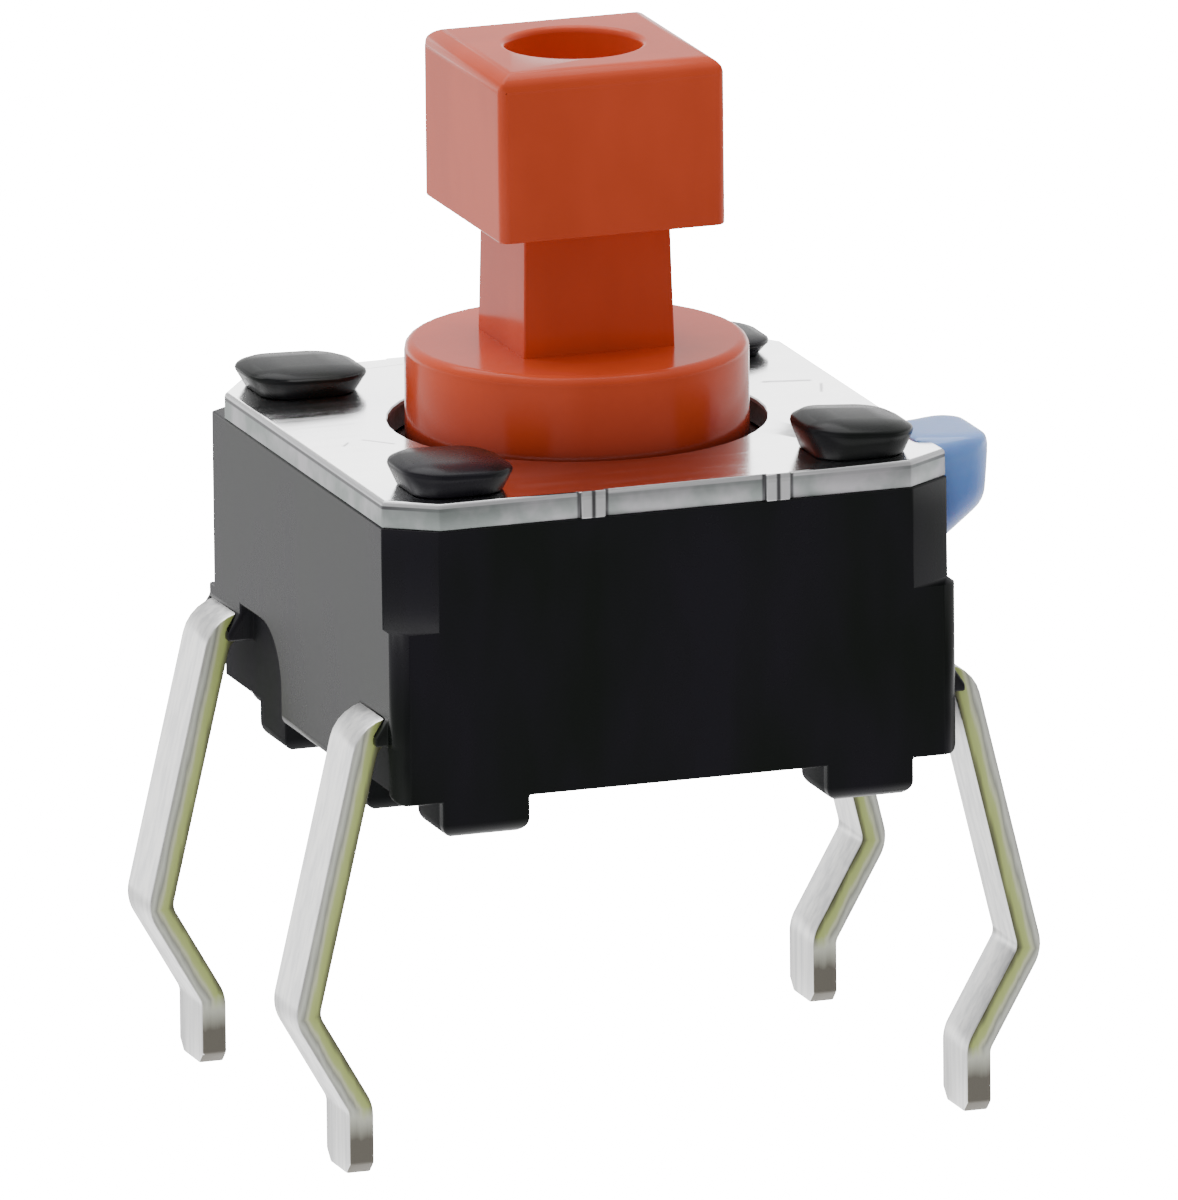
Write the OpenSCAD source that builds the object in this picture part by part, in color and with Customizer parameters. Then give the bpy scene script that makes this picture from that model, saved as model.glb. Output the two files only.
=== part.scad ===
/* [Housing] */
// Width and depth of the square housing
body_w = 6; // [5.9:0.05:6.3]
// Height of the housing's underside over the board
foot_h = 0.38; // [0.3:0.02:0.6]
// Height of the step where the front corners' chamfers end
step_z = 2.14; // [1.9:0.02:2.4]
// Height of the housing's top face, which carries the cover plate
base_top = 3.18; // [3.1:0.02:3.5]
// Cut of the corners along the front and back walls
corner_x = 0.49; // [0.4:0.01:0.55]
// Cut of the corners along the side walls
corner_y = 0.35; // [0.3:0.01:0.4]
// Radius of the front corners under the step
lower_corner_r = 0.18; // [0.1:0.01:0.2]
// Radius of the side walls' lower edges
side_edge_r = 0.12; // [0.05:0.01:0.15]
// Height of the well's floor, level with the top of the contact strips
floor_z = 1.24; // [1.16:0.02:1.28]
// Height of the shelf that the film lies on
shelf_z = 1.9; // [1.86:0.02:2]
// Depth of the shallow recess in the underside
under_recess = 0.12; // [0.05:0.01:0.2]

/* [Feet] */
// Width of a front or back foot along its wall
foot_w = 0.92; // [0.6:0.02:1]
// Depth of a front or back foot into the housing
foot_d = 0.8; // [0.5:0.05:1]
// Distance from the side wall to the middle of a front or back foot
foot_in = 0.96; // [0.8:0.02:1.1]
// Length of a side foot along its wall
side_foot_l = 0.8; // [0.5:0.05:0.9]
// Distance from the front or back wall to the middle of a side foot
side_foot_in = 1.72; // [1.5:0.02:1.8]
// Radius of the feet's lower edges
foot_r = 0.15; // [0.05:0.01:0.18]

/* [Side arches] */
// Depth of the arched recesses round the leads
arch_depth = 0.15; // [0.08:0.01:0.2]
// Height of the top of an arch
arch_top = 1.35; // [1.32:0.01:1.5]
// Radius of an arch's shoulders
arch_r = 0.6; // [0.3:0.02:0.7]
// Half width of the wall's tongue between the two arches
tongue_half = 0.56; // [0.4:0.02:0.8]
// Width of the wall that is left beside each corner
corner_rib = 0.22; // [0.15:0.01:0.3]
// How far the bosses round the leads stand out of the wall
boss_out = 0.13; // [0.1:0.01:0.15]
// Height where the bosses' slopes meet the wall
boss_top = 1.24; // [1.2:0.01:1.3]
// Height of the bosses' bottom
boss_bottom = 0.97; // [0.9:0.01:1]
// Wall of a boss beside its lead
boss_wall = 0.12; // [0.06:0.01:0.15]
// Height of the slope on a boss
boss_slope = 0.2; // [0.1:0.01:0.22]

/* [Cover plate] */
// How far the plate's edge stays back from the housing's walls
plate_inset = 0.01; // [0.01:0.01:0.08]
// Thickness of the cover plate
plate_t = 0.28; // [0.2:0.01:0.3]
// Cut of the plate's back corners along the sides
back_cut = 0.72; // [0.5:0.02:0.76]
// Width of the plate from the hole's edge to the wall
hole_margin = 1.08; // [1:0.01:1.12]
// Width of the sheared tie-bar stubs on the front and back edges
stub_w = 0.26; // [0.1:0.02:0.4]
// How far the stubs stand out of the edge
stub_out = 0.03; // [0.01:0.01:0.05]
// Distance of the stubs from their middle line
stub_x = 0.98; // [0.8:0.02:1.2]
// Shift of the stubs' middle line to the right
stub_shift = 0.1; // [0:0.02:0.2]

/* [Formed stakes] */
// Distance from the side wall to the middle of a stake
stake_in_x = 0.845; // [0.8:0.005:0.88]
// Distance from the front wall to the middle of a front stake
stake_in_front = 0.69; // [0.68:0.01:0.76]
// Distance from the back wall to the middle of a back stake
stake_in_back = 0.84; // [0.74:0.01:0.86]
// Diameter of a stake's shank through the plate
stake_d = 0.74; // [0.6:0.02:0.8]
// Gap between a shank and its hole in the plate
stake_gap = 0.03; // [0.02:0.01:0.05]
// Width of a formed head along X
head_w = 1.2; // [1:0.02:1.24]
// Length of a formed head along Y
head_l = 1.24; // [1:0.02:1.36]
// Radius of a formed head's corners at the rim
head_r = 0.4; // [0.3:0.01:0.44]
// How far a head is undercut from the rim down to the plate
head_undercut = 0.12; // [0.05:0.01:0.18]
// Height of a formed head over the plate
head_h = 0.34; // [0.28:0.01:0.45]

/* [Plunger] */
// Side of the square head
cap_w = 2.4; // [2.2:0.02:2.6]
// Height of the head's top over the board
cap_top = 7.33; // [7:0.01:7.6]
// Height of the head's underside over the board
cap_bottom = 5.6; // [5.4:0.05:5.9]
// Radius of the head's upper edges
cap_r = 0.2; // [0.1:0.01:0.25]
// Radius of the head's vertical edges
cap_edge_r = 0.1; // [0.05:0.01:0.15]
// Diameter of the blind hole in the head
socket_d = 1.37; // [1:0.01:1.5]
// Depth of the blind hole
socket_depth = 1.2; // [0.8:0.05:1.4]
// Break of the blind hole's rim
socket_break = 0.04; // [0.02:0.01:0.08]
// Width of the stem along X, at the head
stem_w = 1.55; // [1.4:0.01:1.7]
// Depth of the stem along Y, at the head
stem_d = 1.37; // [1.2:0.01:1.6]
// How much wider the stem is at its foot, in all
stem_draft = 0.06; // [0:0.01:0.12]
// Gap between the collar and the plate's hole
collar_gap = 0.18; // [0.1:0.01:0.25]
// Height of the collar's top over the board
collar_top = 4.28; // [4.1:0.02:4.5]
// Radius of the collar's upper edge
collar_r = 0.1; // [0.05:0.01:0.15]
// How far the flange reaches under the plate
flange_lip = 0.26; // [0.2:0.01:0.3]
// Thickness of the flange
flange_t = 0.75; // [0.6:0.01:0.8]
// Width of the two lugs that keep the flange from turning
lug_w = 0.8; // [0.5:0.05:1]
// How far the lugs stand out of the flange
lug_out = 0.25; // [0.15:0.01:0.28]
// Diameter of the nub that presses the dome
nub_d = 1.4; // [1:0.05:1.6]
// Running gap round the flange and its lugs
guide_gap = 0.08; // [0.05:0.01:0.1]
// Gap between the flange and the plate at rest
rest_gap = 0.02; // [0.01:0.01:0.03]
// Gap between the nub and the film at rest
nub_gap = 0.02; // [0.01:0.01:0.04]

/* [Dome and film] */
// How far the snap dome's rim stays inside the flange's edge
dome_in = 0.25; // [0.2:0.01:0.35]
// Height of the snap dome
dome_h = 0.62; // [0.5:0.01:0.64]
// Thickness of the snap dome
dome_t = 0.06; // [0.05:0.01:0.08]
// Gap round the dome in its seat
dome_gap = 0.05; // [0.02:0.01:0.08]
// How far the film reaches past the flange's edge
film_over = 0.03; // [0.01:0.01:0.04]
// Thickness of the film
film_t = 0.05; // [0.03:0.01:0.08]

/* [Leads] */
// Distance from the front or back wall to the middle of a lead
lead_in = 0.69; // [0.68:0.01:0.75]
// Width of a lead
lead_w = 0.74; // [0.66:0.02:0.78]
// Thickness of the strip that the terminals are stamped from
lead_t = 0.26; // [0.22:0.01:0.28]
// Distance from the wall to where a lead turns down
lead_top_out = 0.15; // [0.12:0.01:0.2]
// Radius of the upper bend, at the middle of the strip
top_bend_r = 0.32; // [0.28:0.01:0.34]
// Distance from the wall to a lead's knee
knee_out = 0.85; // [0.7:0.01:0.95]
// Height of the knee, under the board
knee_z = -1.8; // [-1.9:0.01:-1.6]
// Distance from the wall to a lead's tip
tip_out = 0.29; // [0.2:0.01:0.4]
// Height of the bend over the tip
ankle_z = -2.78; // [-2.95:0.01:-2.7]
// Height of the tip
tip_z = -3.47; // [-3.6:0.01:-3.35]
// Radius of the knee and of the bend over the tip
lead_bend_r = 0.3; // [0.2:0.01:0.35]
// Cut of the tip's corners
tip_cut = 0.12; // [0.05:0.01:0.2]
// Width of the tongue to the middle contact
tongue_w = 0.7; // [0.5:0.02:0.8]
// Diameter of the middle contact
contact_d = 1.2; // [1:0.05:1.6]
// Width of the arms under the dome's rim
arm_w = 0.5; // [0.4:0.02:0.6]
// How far the arms reach past the centre plane
arm_reach = 0.9; // [0.6:0.05:1.1]

/* [Sealing bead] */
// Distance from the front wall to the bead's middle
bead_in = 1.1; // [1.05:0.05:1.3]
// Length of the bead along the side
bead_l = 1.2; // [1.1:0.05:1.4]
// Height of the bead's top over the plate
bead_rise = 0.05; // [0.05:0.01:0.1]
// How far the bead stands out of the side
bead_out = 0.56; // [0.5:0.02:0.7]
// Height of the bead in all
bead_h = 1.15; // [1.1:0.05:1.3]
// How far the bead laps onto the plate
bead_lap = 0.1; // [0.05:0.01:0.15]

/* [Hidden] */
$fn = 48;
hull_fn = 28;
eps = 0.01;
half_w = body_w / 2;
plate_w = body_w - 2 * plate_inset;
plate_top = base_top + plate_t;
plate_hole_d = body_w - 2 * hole_margin;
stake_x = half_w - stake_in_x;
stake_front = half_w - stake_in_front;
stake_back = half_w - stake_in_back;
foot_x = half_w - foot_in;
side_foot_y = half_w - side_foot_in;
collar_d = plate_hole_d - 2 * collar_gap;
flange_d = plate_hole_d + 2 * flange_lip;
dome_d = flange_d - 2 * dome_in;
film_d = flange_d + 2 * film_over;
dome_seat_r = dome_d / 2 + dome_gap;
well_r = flange_d / 2 + guide_gap;
flange_top = base_top - rest_gap;
flange_bottom = flange_top - flange_t;
film_top = shelf_z + film_t;
nub_bottom = film_top + nub_gap;
lug_end = flange_d / 2 + lug_out;
lead_y = half_w - lead_in;
arch_y0 = tongue_half;
arch_y1 = half_w - corner_rib;
wall_x = half_w - arch_depth;
boss_y = lead_w / 2 + boss_wall;
strip_mid = floor_z - lead_t / 2;
dome_sphere_r = (dome_d * dome_d / 4 + dome_h * dome_h) / (2 * dome_h);
bend_steps = 6;
span = 2 * body_w;

// Half of a terminal's centre line seen from the front: corners and their bend radii
lead_corners = [[0, strip_mid], [half_w + lead_top_out, strip_mid], [half_w + knee_out, knee_z],
                [half_w + tip_out, ankle_z], [half_w + tip_out, tip_z]];
lead_radii = [0, top_bend_r, lead_bend_r, lead_bend_r, 0];

function unit(v) = v / norm(v);
function turned(p, a) = [p.x * cos(a) - p.y * sin(a), p.x * sin(a) + p.y * cos(a)];

// Points of the arc that rounds corner b between a and c with radius r
function bend(a, b, c, r) =
    let (u = unit(a - b), v = unit(c - b), inside = acos(u * v),
         middle = b + unit(u + v) * r / sin(inside / 2),
         start = b + u * r / tan(inside / 2) - middle,
         sweep = -sign(cross(u, v)) * (180 - inside))
    [for (k = [0 : bend_steps]) middle + turned(start, sweep * k / bend_steps)];

// Right half of the centre line, from the first bend to the tip
lead_line = concat(
    [for (i = [1 : len(lead_corners) - 2])
        each bend(lead_corners[i - 1], lead_corners[i], lead_corners[i + 1], lead_radii[i])],
    [lead_corners[len(lead_corners) - 1]]);

// Whole centre line, from the left tip to the right tip
strip_line = concat(
    [for (i = [len(lead_line) - 1 : -1 : 0]) [-lead_line[i].x, lead_line[i].y]],
    lead_line);

// Mitred step from a line's point i to the strip's face
function face_step(line, i, half) =
    let (last = len(line) - 1,
         before = unit(i == 0 ? line[1] - line[0] : line[i] - line[i - 1]),
         after = unit(i == last ? line[last] - line[last - 1] : line[i + 1] - line[i]),
         n1 = [-before.y, before.x], n2 = [-after.y, after.x], m = unit(n1 + n2))
    m * half / (m * n1);

function strip_outline(line, t) = concat(
    [for (i = [0 : len(line) - 1]) line[i] + face_step(line, i, t / 2)],
    [for (i = [len(line) - 1 : -1 : 0]) line[i] - face_step(line, i, t / 2)]);

// Draws its children four times, mirrored into all corners
module in_corners() {
    for (side = [0, 1], end = [0, 1])
        mirror([side, 0, 0]) mirror([0, end, 0]) children();
}

// Draws its children at the four stakes
module at_stakes() {
    for (sx = [-1, 1], y = [-stake_front, stake_back])
        translate([sx * stake_x, y, 0]) children();
}

// Square with cut corners, with their cuts along the front, and along the sides
// at the front and at the back
module cut_square(w, front, side, back) {
    h = w / 2;
    polygon([[-h + front, -h], [h - front, -h], [h, -h + side], [h, h - back],
             [h - front, h], [-h + front, h], [-h, h - back], [-h, -h + side]]);
}

// Rectangle with round corners
module round_rect(w, d, r) {
    square([w - 2 * r, d], center = true);
    square([w, d - 2 * r], center = true);
    for (sx = [-1, 1], sy = [-1, 1])
        translate([sx * (w / 2 - r), sy * (d / 2 - r)]) circle(r = r);
}

// Upright block whose lower edges are rounded on all four sides
module foot_block(w, d, h, r) {
    intersection() {
        rotate([90, 0, 0]) linear_extrude(d, center = true)
            translate([0, h]) round_rect(w, 2 * h, r);
        rotate([90, 0, 90]) linear_extrude(w, center = true)
            translate([0, h]) round_rect(d, 2 * h, r);
    }
}

// Arch over a lead, drawn on the side wall with the centre plane at 0
module arch_profile() {
    translate([arch_y0 + arch_r, -eps])
        square([arch_y1 - arch_y0 - 2 * arch_r, arch_top + eps]);
    translate([arch_y0, -eps]) square([arch_y1 - arch_y0, arch_top - arch_r + eps]);
    for (y = [arch_y0 + arch_r, arch_y1 - arch_r])
        translate([y, arch_top - arch_r]) circle(r = arch_r);
}

// Section of a boss round a lead, seen from the front
module boss_profile() {
    x0 = wall_x - eps;
    x1 = half_w + boss_out;
    polygon([[x0, boss_bottom], [x1, boss_bottom], [x1, boss_top - boss_slope],
             [half_w, boss_top], [half_w, arch_top + eps], [x0, arch_top + eps]]);
}

// Formed head of a stake, wider than its shank and domed on top
module stake_head() {
    neck = head_r - head_undercut;
    translate([0, 0, plate_top]) hull()
        for (sx = [-1, 1], sy = [-1, 1])
            translate([sx * (head_w / 2 - head_r), sy * (head_l / 2 - head_r), 0])
                rotate_extrude($fn = hull_fn)
                    polygon([[0, 0], [neck, 0], [head_r * 0.96, head_h * 0.6],
                             [head_r, head_h * 0.7], [head_r * 0.94, head_h * 0.82],
                             [head_r * 0.66, head_h * 0.95], [0, head_h]]);
}

// Outline of the moulding under the step: only its back corners are cut
module low_outline() {
    intersection() {
        round_rect(body_w, body_w, lower_corner_r);
        translate([0, -half_w]) square([span, body_w], center = true);
    }
    cut_square(body_w, corner_x, corner_y, corner_y);
}

// Outer form of the moulding, before its recesses
module base_block() {
    low_h = step_z - foot_h;
    translate([0, 0, foot_h]) intersection() {
        linear_extrude(low_h) low_outline();
        rotate([90, 0, 0]) linear_extrude(span, center = true)
            translate([0, low_h]) round_rect(body_w, 2 * low_h, side_edge_r);
    }
    translate([0, 0, step_z - eps]) linear_extrude(base_top - step_z + eps)
        cut_square(body_w, corner_x, corner_y, corner_y);
}

// Well for the plunger's flange, the film and the dome
module well() {
    translate([0, 0, floor_z]) cylinder(r = dome_seat_r, h = base_top);
    translate([0, 0, shelf_z]) cylinder(r = well_r, h = base_top);
    translate([0, 0, shelf_z + base_top / 2])
        cube([2 * (lug_end + guide_gap), lug_w + 2 * guide_gap, base_top], center = true);
}

// Stamped strip with a formed lead at each end
module lead_strip() {
    intersection() {
        rotate([90, 0, 0]) linear_extrude(lead_w, center = true)
            polygon(strip_outline(strip_line, lead_t));
        rotate([90, 0, 90]) linear_extrude(span, center = true)
            polygon([[-lead_w / 2 + tip_cut, tip_z], [lead_w / 2 - tip_cut, tip_z],
                     [lead_w / 2, tip_z + tip_cut], [lead_w / 2, base_top],
                     [-lead_w / 2, base_top], [-lead_w / 2, tip_z + tip_cut]]);
    }
}

module base() {
    color([0.09, 0.09, 0.1]) {
        difference() {
            union() {
                difference() {
                    base_block();
                    in_corners() rotate([90, 0, 90]) translate([0, 0, wall_x])
                        linear_extrude(arch_depth + eps) arch_profile();
                }
                in_corners() translate([0, lead_y, 0]) rotate([90, 0, 0])
                    linear_extrude(2 * boss_y, center = true) boss_profile();
                in_corners() translate([foot_x, half_w - foot_d / 2, 0])
                    foot_block(foot_w, foot_d, foot_h + side_edge_r, foot_r);
                in_corners() translate([wall_x - side_foot_l / 2, side_foot_y, 0])
                    foot_block(side_foot_l, side_foot_l, foot_h + side_edge_r, foot_r);
                at_stakes() translate([0, 0, step_z]) cylinder(d = stake_d, h = plate_top - step_z);
            }
            well();
            front_terminal();
            back_terminal();
            translate([0, 0, foot_h]) cube([half_w, half_w, 2 * under_recess], center = true);
        }
        at_stakes() stake_head();
    }
}

module cover_plate() {
    color([0.86, 0.87, 0.88])
    translate([0, 0, base_top]) difference() {
        linear_extrude(plate_t) union() {
            cut_square(plate_w, corner_x, corner_y, back_cut);
            for (s = [-1, 1]) translate([stub_shift + s * stub_x, 0])
                square([stub_w, plate_w + 2 * stub_out], center = true);
        }
        translate([0, 0, -eps]) cylinder(d = plate_hole_d, h = plate_t + 2 * eps);
        at_stakes() translate([0, 0, -eps])
            cylinder(d = stake_d + 2 * stake_gap, h = plate_t + 2 * eps);
    }
}

// Square head with round upper and vertical edges
module cap() {
    h = cap_top - cap_bottom;
    translate([0, 0, cap_bottom]) intersection() {
        linear_extrude(h) round_rect(cap_w, cap_w, cap_edge_r);
        rotate([90, 0, 0]) linear_extrude(cap_w, center = true) round_rect(cap_w, 2 * h, cap_r);
        rotate([90, 0, 90]) linear_extrude(cap_w, center = true) round_rect(cap_w, 2 * h, cap_r);
    }
}

// Tapered stem between the collar and the head
module stem() {
    h = cap_bottom - collar_top;
    module taper(w) {
        polygon([[-w / 2 - stem_draft / 2, -eps], [w / 2 + stem_draft / 2, -eps],
                 [w / 2, h + eps], [-w / 2, h + eps]]);
    }
    translate([0, 0, collar_top]) intersection() {
        rotate([90, 0, 0]) linear_extrude(cap_w, center = true) taper(stem_w);
        rotate([90, 0, 90]) linear_extrude(cap_w, center = true) taper(stem_d);
    }
}

module plunger() {
    color([0.72, 0.24, 0.09]) difference() {
        union() {
            cap();
            stem();
            rotate_extrude() {
                translate([0, nub_bottom]) square([nub_d / 2, flange_top - nub_bottom]);
                translate([0, flange_bottom]) square([flange_d / 2, flange_t]);
                translate([0, flange_bottom]) square([collar_d / 2, collar_top - flange_bottom - collar_r]);
                translate([0, flange_bottom]) square([collar_d / 2 - collar_r, collar_top - flange_bottom]);
                translate([collar_d / 2 - collar_r, collar_top - collar_r]) circle(r = collar_r);
            }
            translate([0, 0, flange_bottom + flange_t / 2])
                cube([2 * lug_end, lug_w, flange_t], center = true);
        }
        translate([0, 0, cap_top - socket_depth]) cylinder(d = socket_d, h = socket_depth + eps);
        translate([0, 0, cap_top - socket_break])
            cylinder(d1 = socket_d, d2 = socket_d + 2 * socket_break + eps, h = socket_break + eps / 2);
    }
}

module contact_dome() {
    color([0.8, 0.78, 0.7])
    translate([0, 0, floor_z + dome_h - dome_sphere_r]) rotate_extrude() intersection() {
        difference() {
            circle(r = dome_sphere_r, $fn = 4 * $fn);
            circle(r = dome_sphere_r - dome_t, $fn = 4 * $fn);
        }
        translate([0, dome_sphere_r - dome_h]) square([dome_d, dome_h + eps]);
    }
}

module seal_film() {
    color([0.85, 0.75, 0.45, 0.6])
    translate([0, 0, shelf_z]) cylinder(d = film_d, h = film_t);
}

module front_terminal() {
    color([0.78, 0.78, 0.74]) {
        translate([0, -lead_y, 0]) lead_strip();
        translate([-tongue_w / 2, -lead_y, floor_z - lead_t]) cube([tongue_w, lead_y, lead_t]);
        translate([0, 0, floor_z - lead_t]) cylinder(d = contact_d, h = lead_t);
    }
}

module back_terminal() {
    color([0.78, 0.78, 0.74]) {
        translate([0, lead_y, 0]) lead_strip();
        for (s = [-1, 1]) translate([s * (dome_seat_r - arm_w / 2) - arm_w / 2, -arm_reach, floor_z - lead_t])
            cube([arm_w, lead_y + arm_reach, lead_t]);
    }
}

module sealing_bead() {
    top = plate_top + bead_rise;
    bead_y = half_w - bead_in;
    r_top = bead_out * 0.52;
    r_low = bead_out * 0.4;
    color([0.42, 0.6, 0.85]) difference() {
        hull() for (s = [-1, 1]) translate([0, -bead_y + s * (bead_l / 2 - r_top), 0]) {
            for (z = [top - r_top, top - bead_h / 2])
                translate([half_w + bead_out - r_top, 0, z]) sphere(r = r_top, $fn = hull_fn);
            translate([half_w, 0, top - r_top]) sphere(r = r_top, $fn = hull_fn);
            translate([half_w, 0, top - bead_h + r_low]) sphere(r = r_low, $fn = hull_fn);
        }
        translate([half_w - body_w, -body_w / 2, 0]) cube([body_w, body_w, base_top]);
        translate([plate_w / 2 - body_w, -body_w / 2, 0]) cube([body_w, body_w, plate_top]);
        translate([plate_w / 2 - bead_lap - body_w, -body_w / 2, 0]) cube([body_w, body_w, 2 * top]);
    }
}

base();
cover_plate();
plunger();
contact_dome();
seal_film();
front_terminal();
back_terminal();
sealing_bead();
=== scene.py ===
# %% [markdown]
# # A tall tactile push switch
# The part is a small board-mounted switch: a black square housing on four
# sprung leads, a bright steel cover plate held down by four formed stakes, and
# an orange plunger with a square head. The imported model is loaded first, as a
# fixed frame. Everything here is made in its space, in metres, so a new piece
# never needs fitting. Its box is kept now, and its lowest point sets the floor.

# %% Load the imported model
import math
import bmesh
import bpy
from mathutils import Matrix, Vector


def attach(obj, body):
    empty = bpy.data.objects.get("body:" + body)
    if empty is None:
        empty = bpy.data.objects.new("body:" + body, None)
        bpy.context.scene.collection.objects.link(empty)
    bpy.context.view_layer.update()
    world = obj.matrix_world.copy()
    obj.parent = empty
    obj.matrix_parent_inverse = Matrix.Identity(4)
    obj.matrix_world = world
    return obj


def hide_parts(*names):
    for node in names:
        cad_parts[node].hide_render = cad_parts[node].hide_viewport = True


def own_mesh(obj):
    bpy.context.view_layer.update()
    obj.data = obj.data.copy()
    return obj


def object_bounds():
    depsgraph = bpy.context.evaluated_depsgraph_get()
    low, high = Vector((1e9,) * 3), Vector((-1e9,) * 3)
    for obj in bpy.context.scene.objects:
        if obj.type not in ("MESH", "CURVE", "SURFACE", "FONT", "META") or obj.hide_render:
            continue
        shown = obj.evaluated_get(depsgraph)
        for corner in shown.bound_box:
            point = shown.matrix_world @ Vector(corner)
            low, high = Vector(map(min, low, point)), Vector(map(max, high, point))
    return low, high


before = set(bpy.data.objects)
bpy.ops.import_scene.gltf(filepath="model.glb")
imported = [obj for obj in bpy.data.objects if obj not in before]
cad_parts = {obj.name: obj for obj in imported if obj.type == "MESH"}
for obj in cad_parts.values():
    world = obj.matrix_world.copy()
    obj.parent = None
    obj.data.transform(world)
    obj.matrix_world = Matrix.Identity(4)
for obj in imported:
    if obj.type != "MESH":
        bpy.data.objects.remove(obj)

MM = 0.001
cad_low, cad_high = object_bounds()
print("size in mm", [round(v / MM, 2) for v in cad_high - cad_low])

# %% [markdown]
# The camera comes next, because every later judgement is made through it. The
# photograph was taken from the front and a little to the left, from a good
# distance through a long lens, so the edges hardly converge. The angles and the
# distance were found by fitting the housing's corners, and the lens follows
# from them: a long lens far away keeps the same size in the frame.

# %% Camera at the photograph's angle
azimuth, elevation, roll = math.radians(19.122), math.radians(14.163), math.radians(-0.581)
# in mm: how far away the camera stands, and how far to the right and up it aims
distance, aim_right, aim_up = 344.715, 0.0842, 1.498
focal_px, photo_height_px = 34122.2, 1200

back = Vector((-math.sin(azimuth) * math.cos(elevation),
               -math.cos(azimuth) * math.cos(elevation), math.sin(elevation)))
level = Vector((math.cos(azimuth), -math.sin(azimuth), 0.0))
upright = back.cross(level)
right = math.cos(roll) * level + math.sin(roll) * upright
up = back.cross(right)

camera_data = bpy.data.cameras.new("camera")
camera_data.sensor_width = 36.0
camera_data.lens = focal_px * camera_data.sensor_width / photo_height_px
camera_data.clip_start, camera_data.clip_end = 0.05, 5.0
camera = bpy.data.objects.new("camera", camera_data)
place = Matrix((right, up, back)).transposed().to_4x4()
place.translation = (right * aim_right + up * aim_up + back * distance) * MM
camera.matrix_world = place
bpy.context.scene.collection.objects.link(camera)
bpy.context.scene.camera = camera
print("lens in mm", round(camera_data.lens, 1))

# %% [markdown]
# A shader is a sum of small steps, and Blender shows each as a node. Written
# out node by node it gets long, so this small class wraps one output of a node
# and lets Python's operators add the Math nodes. A mask is made by "ramp" or
# "fade", and two colours are joined by "mixed". Every other node comes from the
# method "node", which takes its kind, its settings and its sockets.

# %% A socket that can be reckoned with
class Sock:
    """One output of a shader node, in its node tree."""

    def __init__(self, tree, plug=None):
        self.tree, self.plug = tree, plug

    def node(self, kind, sockets=None, out=0, stops=None, **settings):
        """Adds a node of one kind and returns one of its outputs."""
        made = self.tree.nodes.new("ShaderNode" + kind)
        for key, value in settings.items():
            setattr(made, key, value)
        if stops:
            while len(made.color_ramp.elements) < len(stops):
                made.color_ramp.elements.new(0.5)
            for element, (at, colour) in zip(made.color_ramp.elements, stops):
                element.position, element.color = at, (*colour, 1.0)
        for key, value in (sockets or {}).items():
            if isinstance(value, Sock):
                self.tree.links.new(value.plug, made.inputs[key])
            else:
                made.inputs[key].default_value = value
        return Sock(self.tree, made.outputs[out])

    def maths(self, operation, first, second=0.0):
        return self.node("Math", {0: first, 1: second}, operation=operation)

    def __add__(self, other):
        return self.maths("ADD", self, other)

    def __radd__(self, other):
        return self.maths("ADD", other, self)

    def __sub__(self, other):
        return self.maths("SUBTRACT", self, other)

    def __rsub__(self, other):
        return self.maths("SUBTRACT", other, self)

    def __mul__(self, other):
        return self.maths("MULTIPLY", self, other)

    def __rmul__(self, other):
        return self.maths("MULTIPLY", other, self)

    def size(self):
        """The value without its sign."""
        return self.maths("ABSOLUTE", self)

    def at_least(self, other):
        """The larger of the two values."""
        return self.maths("MAXIMUM", self, other)

    def at_most(self, other):
        """The smaller of the two values."""
        return self.maths("MINIMUM", self, other)

    def ramp(self, low, high):
        """0 below low, 1 above high, and an even slope between."""
        return self.node("MapRange", {0: self, 1: low, 2: high}, clamp=True)

    def fade(self, low, high):
        """1 below low, 0 above high, and an even slope between."""
        return 1.0 - self.ramp(low, high)


def mixed(mask, first, second):
    """Colour that runs from the first, where the mask is 0, to the second, where it is 1."""
    colour_a, colour_b, colour_out = 6, 7, 2  # the Mix node's sockets for colours
    sockets = {"Factor": mask}
    for key, colour in ((colour_a, first), (colour_b, second)):
        sockets[key] = colour if isinstance(colour, Sock) else (*colour, 1.0)
    return mask.node("Mix", sockets, out=colour_out, data_type="RGBA")


# %% [markdown]
# Each finish is one Principled surface. Numbers that are the same all over are
# typed on the surface's own sockets, and only what changes from place to place
# is linked. The patterns read the object's own coordinates, in metres, so a
# speck of 0.1 mm asks for a noise scale of about 10000.

# %% A finish and its patterns
def new_finish(name, **fixed):
    """A material with its Principled surface, and a start for its nodes."""
    material = bpy.data.materials.new(name)
    material.use_nodes = True
    surface = material.node_tree.nodes["Principled BSDF"]
    for key, value in fixed.items():
        surface.inputs[key.replace("_", " ")].default_value = value
    return material, surface, Sock(material.node_tree)


def wire(surface, **links):
    """Links varying values to the surface's sockets."""
    for key, value in links.items():
        surface.id_data.links.new(value.plug, surface.inputs[key.replace("_", " ")])


def place_of(start, scale=(1.0, 1.0, 1.0)):
    """The object's own coordinates, in metres, scaled along its axes."""
    spot = start.node("TexCoord", out="Object")
    return start.node("Mapping", {"Vector": spot, "Scale": scale})


def along(start, axis):
    """Where a point lies along one axis of the object, in mm."""
    return start.node("SeparateXYZ", {0: start.node("TexCoord", out="Object")}, out=axis) * (1 / MM)


def specks(start, size_mm, stretch=(1.0, 1.0, 1.0), detail=3.0):
    """Soft noise with features of about the given size."""
    sockets = {"Vector": place_of(start, stretch), "Scale": 1.0 / (size_mm * MM), "Detail": detail}
    return start.node("TexNoise", sockets)


def relief(height, depth_mm, strength=1.0):
    """Normals that make a height pattern stand out by the given depth."""
    return height.node("Bump", {"Height": height, "Distance": depth_mm * MM, "Strength": strength})


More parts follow.
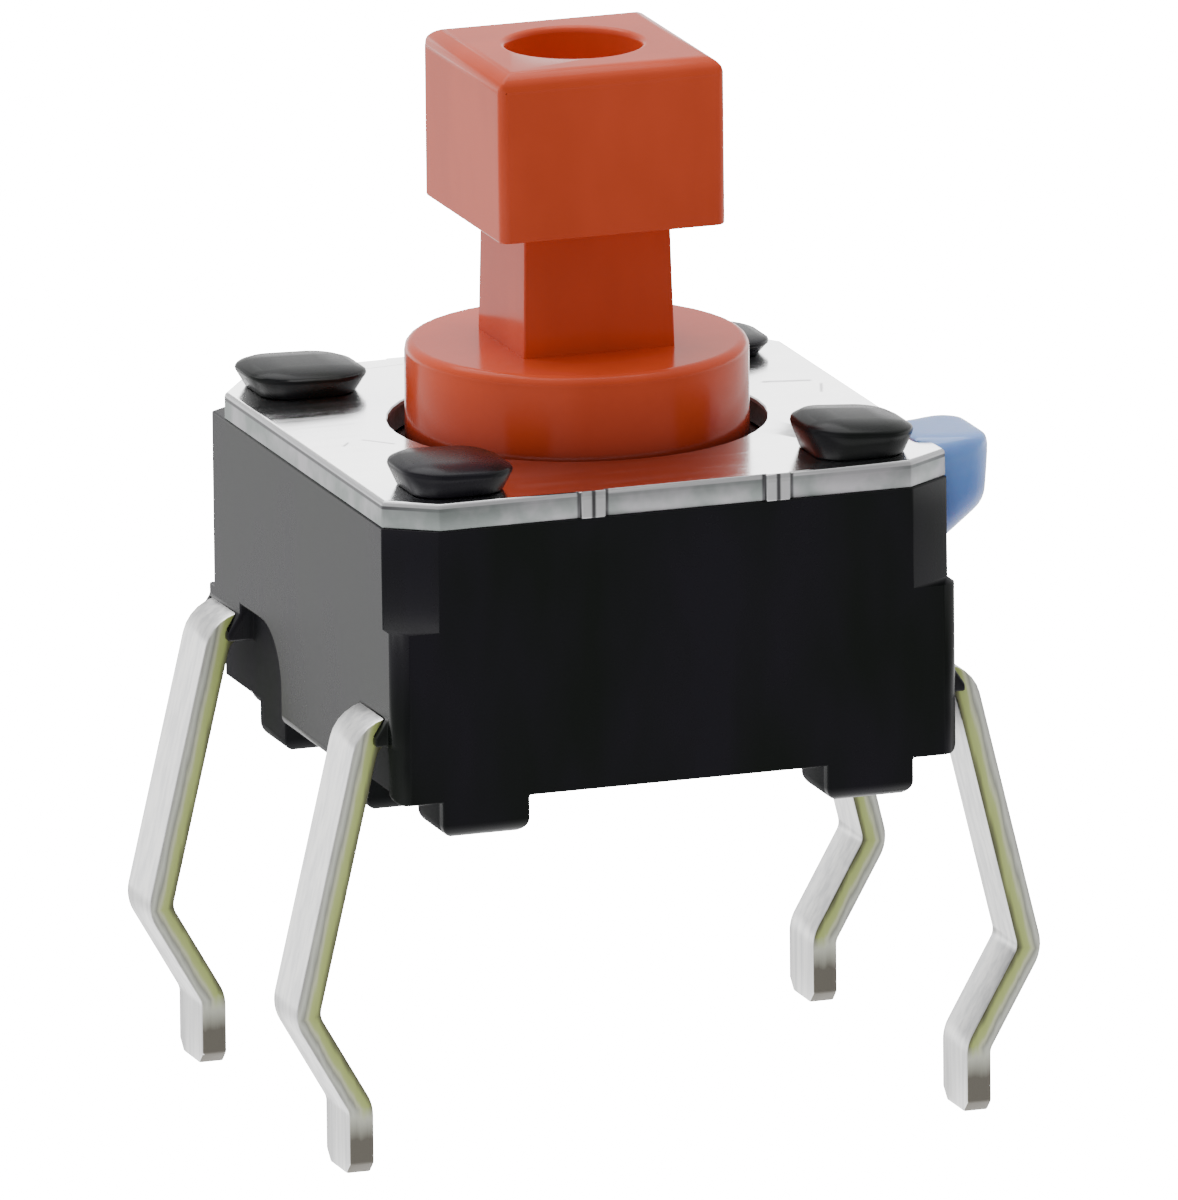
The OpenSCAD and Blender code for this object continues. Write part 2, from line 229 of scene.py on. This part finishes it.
# %% [markdown]
# The housing is moulded in black glass-filled plastic. Seen straight on it is
# nearly black, and at a glancing angle it reflects the white surroundings as
# grey, which is what lights its left side in the photograph. So the colour
# stays almost black and the look comes from the gloss: a satin surface, with a
# faint grain and slightly uneven roughness from the tool. The arched recesses
# round the leads and the outer sides of the feet were eroded in the tool and not
# polished, so they are duller: masks from the object's own coordinates raise the
# roughness there. Each mask runs over a short distance, given in mm.

# %% Black moulded plastic
housing_black, surface, start = new_finish(
    "housing_black", Base_Color=(0.012, 0.012, 0.0125, 1.0), Specular_IOR_Level=0.145)
grain = specks(start, 0.1, detail=2.0)
clouds = specks(start, 0.8, stretch=(1.0, 1.0, 0.35), detail=2.0)
across, depth, height = along(start, "X").size(), along(start, "Y").size(), along(start, "Z")
recess_side, recess_front, recess_top = (2.88, 2.97), (2.88, 2.9), (1.4, 1.5)
recess = across.fade(*recess_side) * depth.fade(*recess_front) * height.fade(*recess_top)
foot_side, foot_inner, foot_outer, foot_top = (2.9, 2.97), (2.7, 2.78), (2.97, 2.99), (0.95, 1.0)
foot = depth.ramp(*foot_inner) * depth.fade(*foot_outer) * height.fade(*foot_top) * across.ramp(*foot_side)
dull = recess.at_least(foot)
wire(surface,
     Roughness=0.18 + grain * 0.04 + clouds * 0.12 + dull * 0.5,
     Base_Color=mixed(clouds.ramp(0.35, 0.65), (0.0075, 0.0095, 0.008), (0.012, 0.0108, 0.0155)),
     Normal=relief(grain, 0.0008, 0.3))

# %% [markdown]
# The cover plate is plated steel, bright enough to mirror the plunger and the
# stakes. A metal's colour is its reflection, so it is nearly white with a low
# roughness. A very shallow wave keeps the mirror images from being perfect, as
# on any pressed sheet, and fine rolling lines run across it. A few faint lines,
# darker, duller and sunk a little, lie beside the hole: each is the distance to a
# short straight line, turned into a narrow mask.

# %% Bright plated sheet
cover_bright, surface, start = new_finish(
    "cover_bright", Base_Color=(0.88, 0.88, 0.885, 1.0), Metallic=1.0)
rolling = specks(start, 0.12, stretch=(0.12, 1.0, 1.0), detail=3.0)
wave = specks(start, 1.4, detail=1.0)


def faint_line(across, depth, first, last, half_width):
    """A straight mark from one point of the plate to another, in mm."""
    soft_side, soft_end = 0.02, 0.04
    length = math.dist(first, last)
    run_x, run_y = (last[0] - first[0]) / length, (last[1] - first[1]) / length
    from_x, from_y = across - (first[0] + last[0]) / 2, depth - (first[1] + last[1]) / 2
    sideways = (from_x * run_y - from_y * run_x).size()
    lengthways = (from_x * run_x + from_y * run_y).size()
    return (sideways.fade(half_width, half_width + soft_side)
            * lengthways.fade(length / 2 - soft_end, length / 2))


# each mark: where it starts, where it ends, and half its width
marks = (((2.19, 0.67), (2.72, 0.54), 0.02), ((2.76, 0.42), (2.62, 0.02), 0.006),
         ((-2.36, -0.15), (-2.08, -0.46), 0.006), ((-2.62, -0.37), (-2.5, -0.2), 0.004))
across, depth = along(start, "X"), along(start, "Y")
faint_lines = faint_line(across, depth, *marks[0])
for mark in marks[1:]:
    faint_lines = faint_lines.at_least(faint_line(across, depth, *mark))
sheet_colour = mixed(wave.ramp(0.3, 0.7), (0.86, 0.865, 0.88), (0.94, 0.935, 0.93))
wire(surface,
     Roughness=0.12 + rolling.ramp(0.3, 0.75) * 0.1 + faint_lines * 0.2,
     Base_Color=mixed(faint_lines, sheet_colour, (0.55, 0.55, 0.56)),
     Normal=relief(wave + rolling * 0.03 - faint_lines * 0.6, 0.006, 0.5))

# %% [markdown]
# The plate's edge was sheared in a press. It is duller and greyer than the top,
# with fine upright lines from the punch and mottled by the tear. The rim above
# was only rolled over and stays bright. Between the two a dark line of painted
# shade runs along the crease, clearest near the corners. The stubs, where the
# plate was broken out of its strip, are bright with dark torn lines.

# %% Sheared edge of the plate
cover_sheared, surface, start = new_finish(
    "cover_sheared", Base_Color=(0.5, 0.51, 0.5, 1.0), Metallic=0.6)
punch = specks(start, 0.05, stretch=(1.0, 1.0, 0.12), detail=4.0)
patches = specks(start, 0.45, detail=3.0)
# in mm: the stubs' shift to the right, their distance from there, half their
# width, how far from their middle they tore, and the heights of rim and painted shade line
stub_shift, stub_apart, stub_half, torn_side = 0.1, 0.98, 0.13, 0.145
rolled_height, crease_shade_height = 3.41, 3.392
torn_width, crease_shade_width, blur = (0.012, 0.03), (0.012, 0.022), 0.005
from_stub = ((along(start, "X") - stub_shift).size() - stub_apart).size()
sheared = mixed(patches.ramp(0.38, 0.62), (0.27, 0.3, 0.29), (0.47, 0.46, 0.48))
sheared = mixed(from_stub.ramp(stub_half - blur, stub_half + blur), (0.8, 0.8, 0.81), sheared)
torn = from_stub.fade(*torn_width).at_least((from_stub - torn_side).size().fade(*torn_width))
height = along(start, "Z")
sheared = mixed(height.ramp(rolled_height - blur, rolled_height + blur), sheared, (0.6, 0.6, 0.61))
toward_corner = along(start, "X").size().ramp(2.3, 2.95) * 0.85 + 0.15
# painted shade: a dark line along the crease below the rim, stronger towards the corners
crease_shade = (height - crease_shade_height).size().fade(*crease_shade_width) * toward_corner
wire(surface,
     Roughness=0.3 + punch * 0.2,
     # the dark colour serves both the torn lines and the painted crease shade
     Base_Color=mixed(torn.at_least(crease_shade), sheared, (0.1, 0.1, 0.105)),
     Normal=relief(punch, 0.003, 0.6))

# %% [markdown]
# The plunger is an opaque orange-brown plastic with a smooth mould finish. Its
# top and left faces look pinkish only because they mirror the white
# surroundings, so the colour itself is one deep orange with a little drift, and
# the surface is glossy. Painted shade darkens the colour towards the foot of
# the collar, and a painted shadow makes the flange nearly black, since hardly
# any light gets into the gap round the collar.

# %% Orange moulded plastic
plunger_orange, surface, start = new_finish(
    "plunger_orange", Base_Color=(0.61, 0.066, 0.02, 1.0), Specular_IOR_Level=0.15)
flow = specks(start, 0.8, stretch=(1.0, 1.0, 0.5), detail=2.0)
mould = specks(start, 0.12, detail=1.5)
height = along(start, "Z")
flange_edge, collar_foot = (3.3, 3.48), (3.44, 4.1)
orange = mixed(flow.ramp(0.35, 0.65), (0.61, 0.073, 0.026), (0.67, 0.082, 0.03))
# painted shade: the orange darkens towards the foot of the collar
shade_painted_orange = mixed(height.ramp(*collar_foot), (0.36, 0.036, 0.013), orange)
wire(surface,
     Roughness=0.12 + mould * 0.05 + flow * 0.04,
     # painted shadow: the flange, in the gap under the plate, is painted nearly black
     Base_Color=mixed(height.ramp(*flange_edge), (0.035, 0.008, 0.006), shade_painted_orange),
     Normal=relief(mould, 0.0008, 0.3))

# %% [markdown]
# The leads are stamped from brass strip that was plated before stamping. Their
# broad faces are bright and pale, while the cut edges show the raw yellow-green
# metal in stripes along the strip: burnished by the punch on one side, torn on
# the other. The stripes follow the bends, so the shader works out how far a
# point lies from the strip's middle line, and a colour ramp turns that distance
# into the stripes. They end in a pale stretch, and the tips are dull and brown.
# Two finishes are used, and the pieces below give each face the right one by the
# way it points.

# %% Plated faces and raw cut edges of the leads
lead_plated, surface, start = new_finish(
    "lead_plated", Base_Color=(0.9, 0.9, 0.89, 1.0), Metallic=1.0)
rubbed = specks(start, 0.09, stretch=(1.0, 1.0, 0.06), detail=3.0)
wire(surface,
     Roughness=0.24 + rubbed * 0.16,
     Base_Color=mixed(rubbed.ramp(0.35, 0.62), (0.72, 0.725, 0.73), (0.97, 0.965, 0.95)),
     Normal=relief(rubbed, 0.002, 0.4))

lead_cut, surface, start = new_finish(
    "lead_cut", Base_Color=(0.6, 0.66, 0.26, 1.0), Metallic=0.1)
streaks = specks(start, 0.08, stretch=(1.0, 1.0, 0.1), detail=3.0)
height = along(start, "Z")
# the strip's middle line, as distance from the switch's middle and height, in mm
root, knee, ankle, tip = (3.15, 1.11), (3.85, -1.8), (3.29, -2.78), (3.29, -3.47)
strip_thickness = 0.26


def beside(out, height, first, last):
    """How far a point lies outside the line from one bend to the next, in mm."""
    length = math.dist(first, last)
    return ((out - first[0]) * ((first[1] - last[1]) / length)
            + (height - first[1]) * ((last[0] - first[0]) / length))


out = along(start, "X").size()
middle = beside(out, height, knee, ankle)
upper = beside(out, height, root, knee).at_least(middle)
lower = beside(out, height, ankle, tip).at_most(middle)
between_bends = (-2.35, -2.25)
above = height.ramp(*between_bends)
layer = (upper * above + lower * (1.0 - above)) * (1 / strip_thickness) + 0.5 + (streaks - 0.5) * 0.22
brass = layer.node("ValToRGB", {0: layer}, stops=(
    (0.0, (0.1, 0.1, 0.05)), (0.12, (0.24, 0.26, 0.12)), (0.24, (0.54, 0.64, 0.2)),
    (0.44, (0.62, 0.72, 0.26)), (0.55, (0.8, 0.83, 0.56)), (0.67, (0.42, 0.43, 0.36)),
    (0.82, (0.84, 0.86, 0.76)), (1.0, (0.48, 0.48, 0.46))))
stripes_end, tip_edge = (-2.8, -2.65), (-3.1, -2.86)
striped = mixed((height + streaks * 0.2).ramp(*stripes_end), (0.85, 0.87, 0.74), brass)
at_tip = (height + (streaks - 0.5) * 0.12).fade(*tip_edge)
wire(surface,
     Roughness=0.34 + streaks * 0.16,
     Base_Color=mixed(at_tip, striped, (0.19, 0.175, 0.145)),
     Normal=relief(streaks, 0.004, 0.5))

# %% [markdown]
# The bead on the right side is a drop of blue resin. It set while hanging, so it
# is glossy and a little cloudy. Its colour is painted light and shade: paler on
# top and deeper blue below.

# %% Blue resin
bead_blue, surface, start = new_finish(
    "bead_blue", Base_Color=(0.14, 0.27, 0.65, 1.0), Coat_Weight=0.6, Coat_Roughness=0.05,
    Subsurface_Weight=0.35, Subsurface_Scale=0.0006)
cloud = specks(start, 0.35, detail=2.0)
bead_foot, bead_top = 2.45, 3.45
# painted light and shade: the colour is paler towards the top of the bead, deeper blue towards its foot
painted_light_by_height = along(start, "Z").ramp(bead_foot, bead_top) + (cloud - 0.5) * 0.3
wire(surface,
     Roughness=0.2 + cloud * 0.1,
     Base_Color=mixed(painted_light_by_height, (0.03, 0.11, 0.5), (0.19, 0.39, 0.88)))

# %% [markdown]
# Two parts stay hidden in the housing until it is opened: the snap dome, a thin
# stamped steel disc with the marks of brushing, and the amber film over it, a
# little hazy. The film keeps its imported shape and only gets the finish.

# %% Dome steel and film
dome_steel, surface, start = new_finish("dome_steel", Base_Color=(0.62, 0.6, 0.56, 1.0), Metallic=1.0)
brushed = specks(start, 0.08, stretch=(0.2, 1.0, 1.0), detail=2.0)
wire(surface, Roughness=0.18 + brushed * 0.15, Normal=relief(brushed, 0.001, 0.4))

film_amber, surface, start = new_finish(
    "film_amber", Base_Color=(0.6, 0.33, 0.07, 1.0), Specular_IOR_Level=0.5)
haze = specks(start, 0.3, detail=2.0)
wire(surface, Roughness=0.15 + haze * 0.1,
     Base_Color=mixed(haze, (0.52, 0.27, 0.05), (0.66, 0.38, 0.1)))

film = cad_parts["seal_film"]
film.data.materials.clear()
film.data.materials.append(film_amber)
print("finishes", len(bpy.data.materials))

# %% [markdown]
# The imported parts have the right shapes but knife-sharp edges, and no real edge
# is sharp: the thin highlight along each edge is much of what makes a render
# look real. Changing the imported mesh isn't allowed, so a copy is made. Its loose
# triangles are merged, flat faces are joined, and the sharp edges are bevelled.
# The work is done in millimetres, where the operators' tolerances suit, and the
# finished copy goes back to metres, rides with its body and replaces the part.

# %% Copy a part and soften its edges
def copied(node):
    """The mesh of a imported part, in millimetres and with its triangles merged."""
    bm = bmesh.new()
    bm.from_mesh(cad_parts[node].data)
    bmesh.ops.transform(bm, matrix=Matrix.Scale(1 / MM, 4), verts=bm.verts)
    bmesh.ops.remove_doubles(bm, verts=bm.verts, dist=0.001)
    return bm


def dressed(bm, node, name):
    """A piece made from the finished copy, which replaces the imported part."""
    bmesh.ops.transform(bm, matrix=Matrix.Scale(MM, 4), verts=bm.verts)
    mesh = bpy.data.meshes.new(name)
    bm.to_mesh(mesh)
    bm.free()
    mesh.shade_smooth()
    piece = bpy.data.objects.new(name, mesh)
    bpy.context.scene.collection.objects.link(piece)
    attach(piece, "button" if node == "plunger" else "housing")
    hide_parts(node)
    print(name, "faces", len(mesh.polygons))
    return piece


def softened(node, name, *passes, reshape=None, sharp_deg=32.0):
    """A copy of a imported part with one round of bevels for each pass."""
    bm = copied(node)
    bmesh.ops.dissolve_limit(bm, angle_limit=math.radians(0.6), verts=bm.verts, edges=bm.edges,
                             use_dissolve_boundaries=False, delimit=set())
    if reshape:
        reshape(bm)
    for width, segments, pick in passes:
        edges = [e for e in bm.edges if e.is_manifold
                 and e.calc_face_angle() > math.radians(sharp_deg) and pick(e)]
        bmesh.ops.bevel(bm, geom=edges, offset=width, offset_type="OFFSET", segments=segments,
                        profile=0.5, affect="EDGES", clamp_overlap=False, material=-1)
    piece = dressed(bm, node, name)
    piece.data.set_sharp_from_angle(angle=math.radians(40))
    weighted = piece.modifiers.new("weighted_normals", "WEIGHTED_NORMAL")
    weighted.keep_sharp = True
    return piece


def every(edge):
    """Picks any edge, for a pass that leaves none out."""
    return True


# %% [markdown]
# The housing gets a bevel of a few hundredths of a millimetre, as a mould gives.
# The four stakes were pressed over the plate while soft, so no two heads are
# alike: each is scaled, shifted and sloped a little about its own middle, and its
# corners are drawn in. At the left front the wall's tongue reaches up to the
# lead, so the arch there is made narrower and lower by moving its points.

# %% Housing
def off_step(edge):
    """The corners' small steps, at a height of 2.14 mm, stay crisp."""
    return not all(2.1 < v.co.z < 2.18 for v in edge.verts)


plate_top = 3.46
# each stake: its middle, its shift to the right, and how wide, how tall and how sloping it is
stakes = (((-2.155, 2.16), -0.055, 1.09, 0.82, -0.1), ((2.155, 2.16), 0.0, 1.0, 0.6, -0.12),
          ((-2.155, -2.31), 0.0, 1.02, 0.93, -0.12), ((2.155, -2.31), -0.045, 1.0, 1.08, -0.22))


def uneven_heads(bm):
    """Gives each stake's head a shape of its own."""
    head_reach, corner_pull = 0.7, 0.1 / 0.36
    for (x, y), shift, wide, tall, slope in stakes:
        for vert in bm.verts:
            out, deep, rise = vert.co.x - x, vert.co.y - y, vert.co.z - plate_top
            if rise > -0.001 and abs(out) < head_reach and abs(deep) < head_reach:
                pulled = 1.0 - corner_pull * abs(out * deep)
                vert.co.x = x + shift + out * wide * pulled
                vert.co.y = y + deep * pulled
                vert.co.z = plate_top + rise * (tall + slope * out)


def narrow_arch(bm):
    """Moves the edge of the left front arch towards the lead, and its top down."""
    left_wall, foot_shift = -2.8, 0.31
    arch_edge, moved_edge, squeeze = -0.57, -1.42, 0.55
    arch_foot, lowering = 0.75, 0.42
    wall = [v for v in bm.verts if v.co.x < left_wall]
    shoulder = [v for v in wall if -1.2 < v.co.y < -0.5 and 0.37 < v.co.z < 1.4
                and (v.co.y > -0.7 or v.co.z > 0.7)]
    for vert in shoulder:
        if vert.co.z < 0.6:
            vert.co.y -= foot_shift
        else:
            vert.co.y = moved_edge + squeeze * (vert.co.y - arch_edge)
            vert.co.z -= lowering * (vert.co.z - arch_foot)
    boss_side, boss_heights = -1.82, (1.14, 1.13)
    for vert in wall:
        if abs(vert.co.y - boss_side) < 0.01 and 1.2 < vert.co.z < 1.4:
            vert.co.z = boss_heights[0] if vert.co.z > 1.3 else boss_heights[1]
    print("points moved round the arch", len(shoulder))


def hand_formed(bm):
    """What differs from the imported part."""
    uneven_heads(bm)
    narrow_arch(bm)


edge_radius = 0.02
housing = softened("base", "housing_body", (edge_radius, 2, off_step), reshape=hand_formed)
housing.data.materials.append(housing_black)

# %% [markdown]
# The plate's rim is softer on top, where the press rolled the metal over. The
# upright faces and the steeper ones of the rim get the sheared finish, and all
# the others the bright one.

# %% Cover plate
def top_rim(edge):
    """The long edges round the plate's top, without the stubs and the holes."""
    middle = (edge.verts[0].co + edge.verts[1].co) / 2
    outside = max(abs(middle.x), abs(middle.y)) > 2.9 or abs(middle.x) + abs(middle.y) > 5.2
    return outside and edge.calc_length() > 0.3 and all(v.co.z > 3.45 for v in edge.verts)


plate = softened("cover_plate", "cover_sheet", (0.05, 3, top_rim), (0.012, 1, every))
plate.data.materials.append(cover_bright)
plate.data.materials.append(cover_sheared)
for face in plate.data.polygons:
    outward = face.normal.to_2d()
    on_rim = face.center.to_2d().dot(outward) > 2.8 * MM * outward.length
    steep = abs(face.normal.z) < (0.8 if on_rim else 0.3)
    face.material_index = 1 if steep else 0

# %% [markdown]
# The plunger is one moulding, so one bevel width serves all its edges, apart
# from the stem's foot, where two faces meet in an inner corner.

# %% Plunger
def off_foot(edge):
    """All edges but the foot of the stem, which stays crisp on the collar."""
    return not all(abs(v.co.z - 4.28) < 0.02 and v.co.to_2d().length < 1.2 for v in edge.verts)


plunger = softened("plunger", "plunger_body", (0.025, 2, off_foot))
plunger.data.materials.append(plunger_orange)

# %% [markdown]
# The snap dome gives way when the plunger goes down, which is what is felt as the
# click. Here it is a copy of the imported dome with its flat faces joined and no
# bevels, on a mesh of its own.

# %% Snap dome
dome = softened("contact_dome", "snap_dome")
dome.data.materials.append(dome_steel)
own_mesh(dome)

# %% [markdown]
# Strip doesn't fold sharply, so the bends get a wide bevel first, and then all
# edges a fine one. Faces that point to the front or back are the cut edges of
# the strip, the tips' ends are cut too, and the others are its plated faces.

# %% Leads
def at_bend(edge):
    """The edges across the strip at the two lower bends."""
    first, last = (v.co for v in edge.verts)
    lies_across = abs(first.y - last.y) > 0.9 * edge.calc_length()
    return lies_across and all(-3.2 < point.z < 0.8 for point in (first, last))


bend_radius = 0.15
for node in ("front_terminal", "back_terminal"):
    lead = softened(node, node + "_strip", (bend_radius, 4, at_bend), (edge_radius, 2, every), sharp_deg=20.0)
    lead.data.materials.append(lead_plated)
    lead.data.materials.append(lead_cut)
    for face in lead.data.polygons:
        at_end = face.normal.z < -0.6 and face.center.z < -3.3 * MM
        face.material_index = 1 if abs(face.normal.y) > 0.75 or at_end else 0

# %% [markdown]
# The bead was a drop, so it has no edge at all, and a bevel would only soften
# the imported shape's facets. Instead a copy is filled out towards its free end,
# remeshed into an even skin and smoothed over and over until it is a blob. It is
# stretched into the wall first, because smoothing draws it back.

# %% Bead
def filled_out(bm, sink):
    """Stretches the bead into the wall, and makes its free end taller and fuller."""
    edge_x = max(v.co.x for v in bm.verts)
    stretch = Matrix.Scale(sink, 4, (1, 0, 0))
    to_edge = Matrix.Translation((edge_x, 0, 0))
    bmesh.ops.transform(bm, matrix=to_edge @ stretch @ to_edge.inverted(), verts=bm.verts)
    left = min(v.co.x for v in bm.verts)
    low, high = (pick(v.co.z for v in bm.verts) for pick in (min, max))
    lift, lift_from, bulge = 0.5, 0.4, 0.07
    for vert in bm.verts:
        out = (vert.co.x - left) / (edge_x - left)
        rise = 2.0 * (vert.co.z - low) / (high - low) - 1.0
        vert.co.z = min(high, vert.co.z + lift * max(0.0, out - lift_from) * max(0.0, rise))
        vert.co.x += bulge * out * abs(rise)


def rounded_blob(node, name, voxel, rounds, sink):
    """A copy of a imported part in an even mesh, smoothed, and sunk a little into the wall."""
    bm = copied(node)
    filled_out(bm, sink)
    rough = bpy.data.meshes.new(name + "_rough")
    bm.to_mesh(rough)
    bm.free()
    blank = bpy.data.objects.new(name + "_rough", rough)
    bpy.context.scene.collection.objects.link(blank)
    blank.modifiers.new("even", "REMESH").voxel_size = voxel
    even = blank.evaluated_get(bpy.context.evaluated_depsgraph_get()).to_mesh()
    bm = bmesh.new()
    bm.from_mesh(even)
    bpy.data.objects.remove(blank)
    for _ in range(rounds):
        bmesh.ops.smooth_vert(bm, verts=bm.verts, factor=0.5,
                              use_axis_x=True, use_axis_y=True, use_axis_z=True)
    return dressed(bm, node, name)


bead = rounded_blob("sealing_bead", "resin_bead", voxel=0.035, rounds=22, sink=1.2)
bead.data.materials.append(bead_blue)

# %% [markdown]
# The floor is a plain sheet of white acrylic, lit from below as a light table is,
# so that the background is white as in the photograph. Only the camera sees it:
# the switch is lit by the studio alone, which keeps its dark faces dark.

# %% Floor
floor_half, floor_glow = 0.6, 17.0
bm = bmesh.new()
bmesh.ops.create_grid(bm, x_segments=2, y_segments=2, size=floor_half)
bmesh.ops.translate(bm, verts=bm.verts, vec=(0.0, 0.0, cad_low.z))
sheet_mesh = bpy.data.meshes.new("floor")
bm.to_mesh(sheet_mesh)
bm.free()
floor = bpy.data.objects.new("floor", sheet_mesh)
bpy.context.scene.collection.objects.link(floor)
floor_white, surface, start = new_finish(
    "floor_white", Base_Color=(0.93, 0.93, 0.93, 1.0), Roughness=0.9, Specular_IOR_Level=0.1,
    Emission_Color=(1.0, 1.0, 1.0, 1.0), Emission_Strength=floor_glow)
floor.data.materials.append(floor_white)
floor.visible_glossy = False
floor.visible_diffuse = False

# %% [markdown]
# The light comes from a white studio that is open towards the camera: bright
# behind and at the sides, and dark in front, which is why the housing's front is
# black while its side is grey. A world brightness that changes with direction
# gives this without any lamp, and keeps every shadow soft: bands by height, the
# brightest near the ground, a dark opening in front and a half-dark curtain at
# the left. The camera itself sees plain white, as the floor is.

# %% Studio walls
wall_light, camera_light = 1.5, 20.0
window_share, curtain_share = 0.73, 0.45
toward_window, toward_curtain = (0.32, -0.95, 0.0), (-0.95, -0.3, 0.0)
# each band of brightness: its height, from 0 below to 1 above, and its grey
bands = ((0.28, 0.85), (0.35, 0.5), (0.4, 0.5), (0.45, 0.9), (0.49, 0.9), (0.56, 0.4), (1.0, 0.4))
band_mean = 0.55
world = bpy.data.worlds.new("studio")
bpy.context.scene.world = world
world.use_nodes = True
sky = world.node_tree.nodes["Background"]
start = Sock(world.node_tree)
ray = start.node("TexCoord", out="Generated")
level_height = start.node("SeparateXYZ", {0: ray}, out="Z") * 0.5 + 0.5
by_height = start.node("ValToRGB", {0: level_height}, stops=[(at, (grey,) * 3) for at, grey in bands])


def facing(way, low, high):
    """A mask for the part of the studio that lies a given way."""
    return start.node("VectorMath", {0: ray, 1: way}, out="Value", operation="DOT_PRODUCT").ramp(low, high)


window, curtain = facing(toward_window, 0.35, 0.85), facing(toward_curtain, 0.35, 0.9)
shade = (1.0 - window * window_share) * (1.0 - curtain * curtain_share)
glow = shade * by_height * (wall_light / band_mean)
seen = start.node("LightPath", out="Is Camera Ray")
brightness = glow + seen * (camera_light - glow)
world.node_tree.links.new(brightness.plug, sky.inputs["Strength"])
sky.inputs["Color"].default_value = (1.0, 1.0, 1.0, 1.0)

# %% [markdown]
# Two softboxes do the rest. The large one hangs above and a little behind, and
# lights the tops and, at a slant, the fronts. The other stands low behind the
# switch, just where the cover plate mirrors it, and makes the plate the
# brightest part. It is linked to the plate alone, because it would turn the
# black heads grey. Neither is seen by the camera.

# %% Softboxes
def softbox(name, toward, away, size, watts):
    """A square lamp in the given direction from the switch, aimed at it."""
    data = bpy.data.lights.new(name, "AREA")
    data.shape, data.size, data.energy = "SQUARE", size, watts
    lamp = bpy.data.objects.new(name, data)
    lamp.location = Vector(toward).normalized() * away
    lamp.rotation_mode = "QUATERNION"
    lamp.rotation_quaternion = lamp.location.to_track_quat("Z", "Y")
    lamp.visible_camera = False
    bpy.context.scene.collection.objects.link(lamp)
    return lamp


softbox("softbox_above", (-0.1, 0.3, 0.95), 0.4, 0.4, 1.4)
behind = softbox("softbox_behind", (0.317, 0.917, 0.245), 0.5, 0.2, 0.42)
mirrors = bpy.data.collections.new("mirrors")
mirrors.objects.link(plate)
behind.light_linking.receiver_collection = mirrors
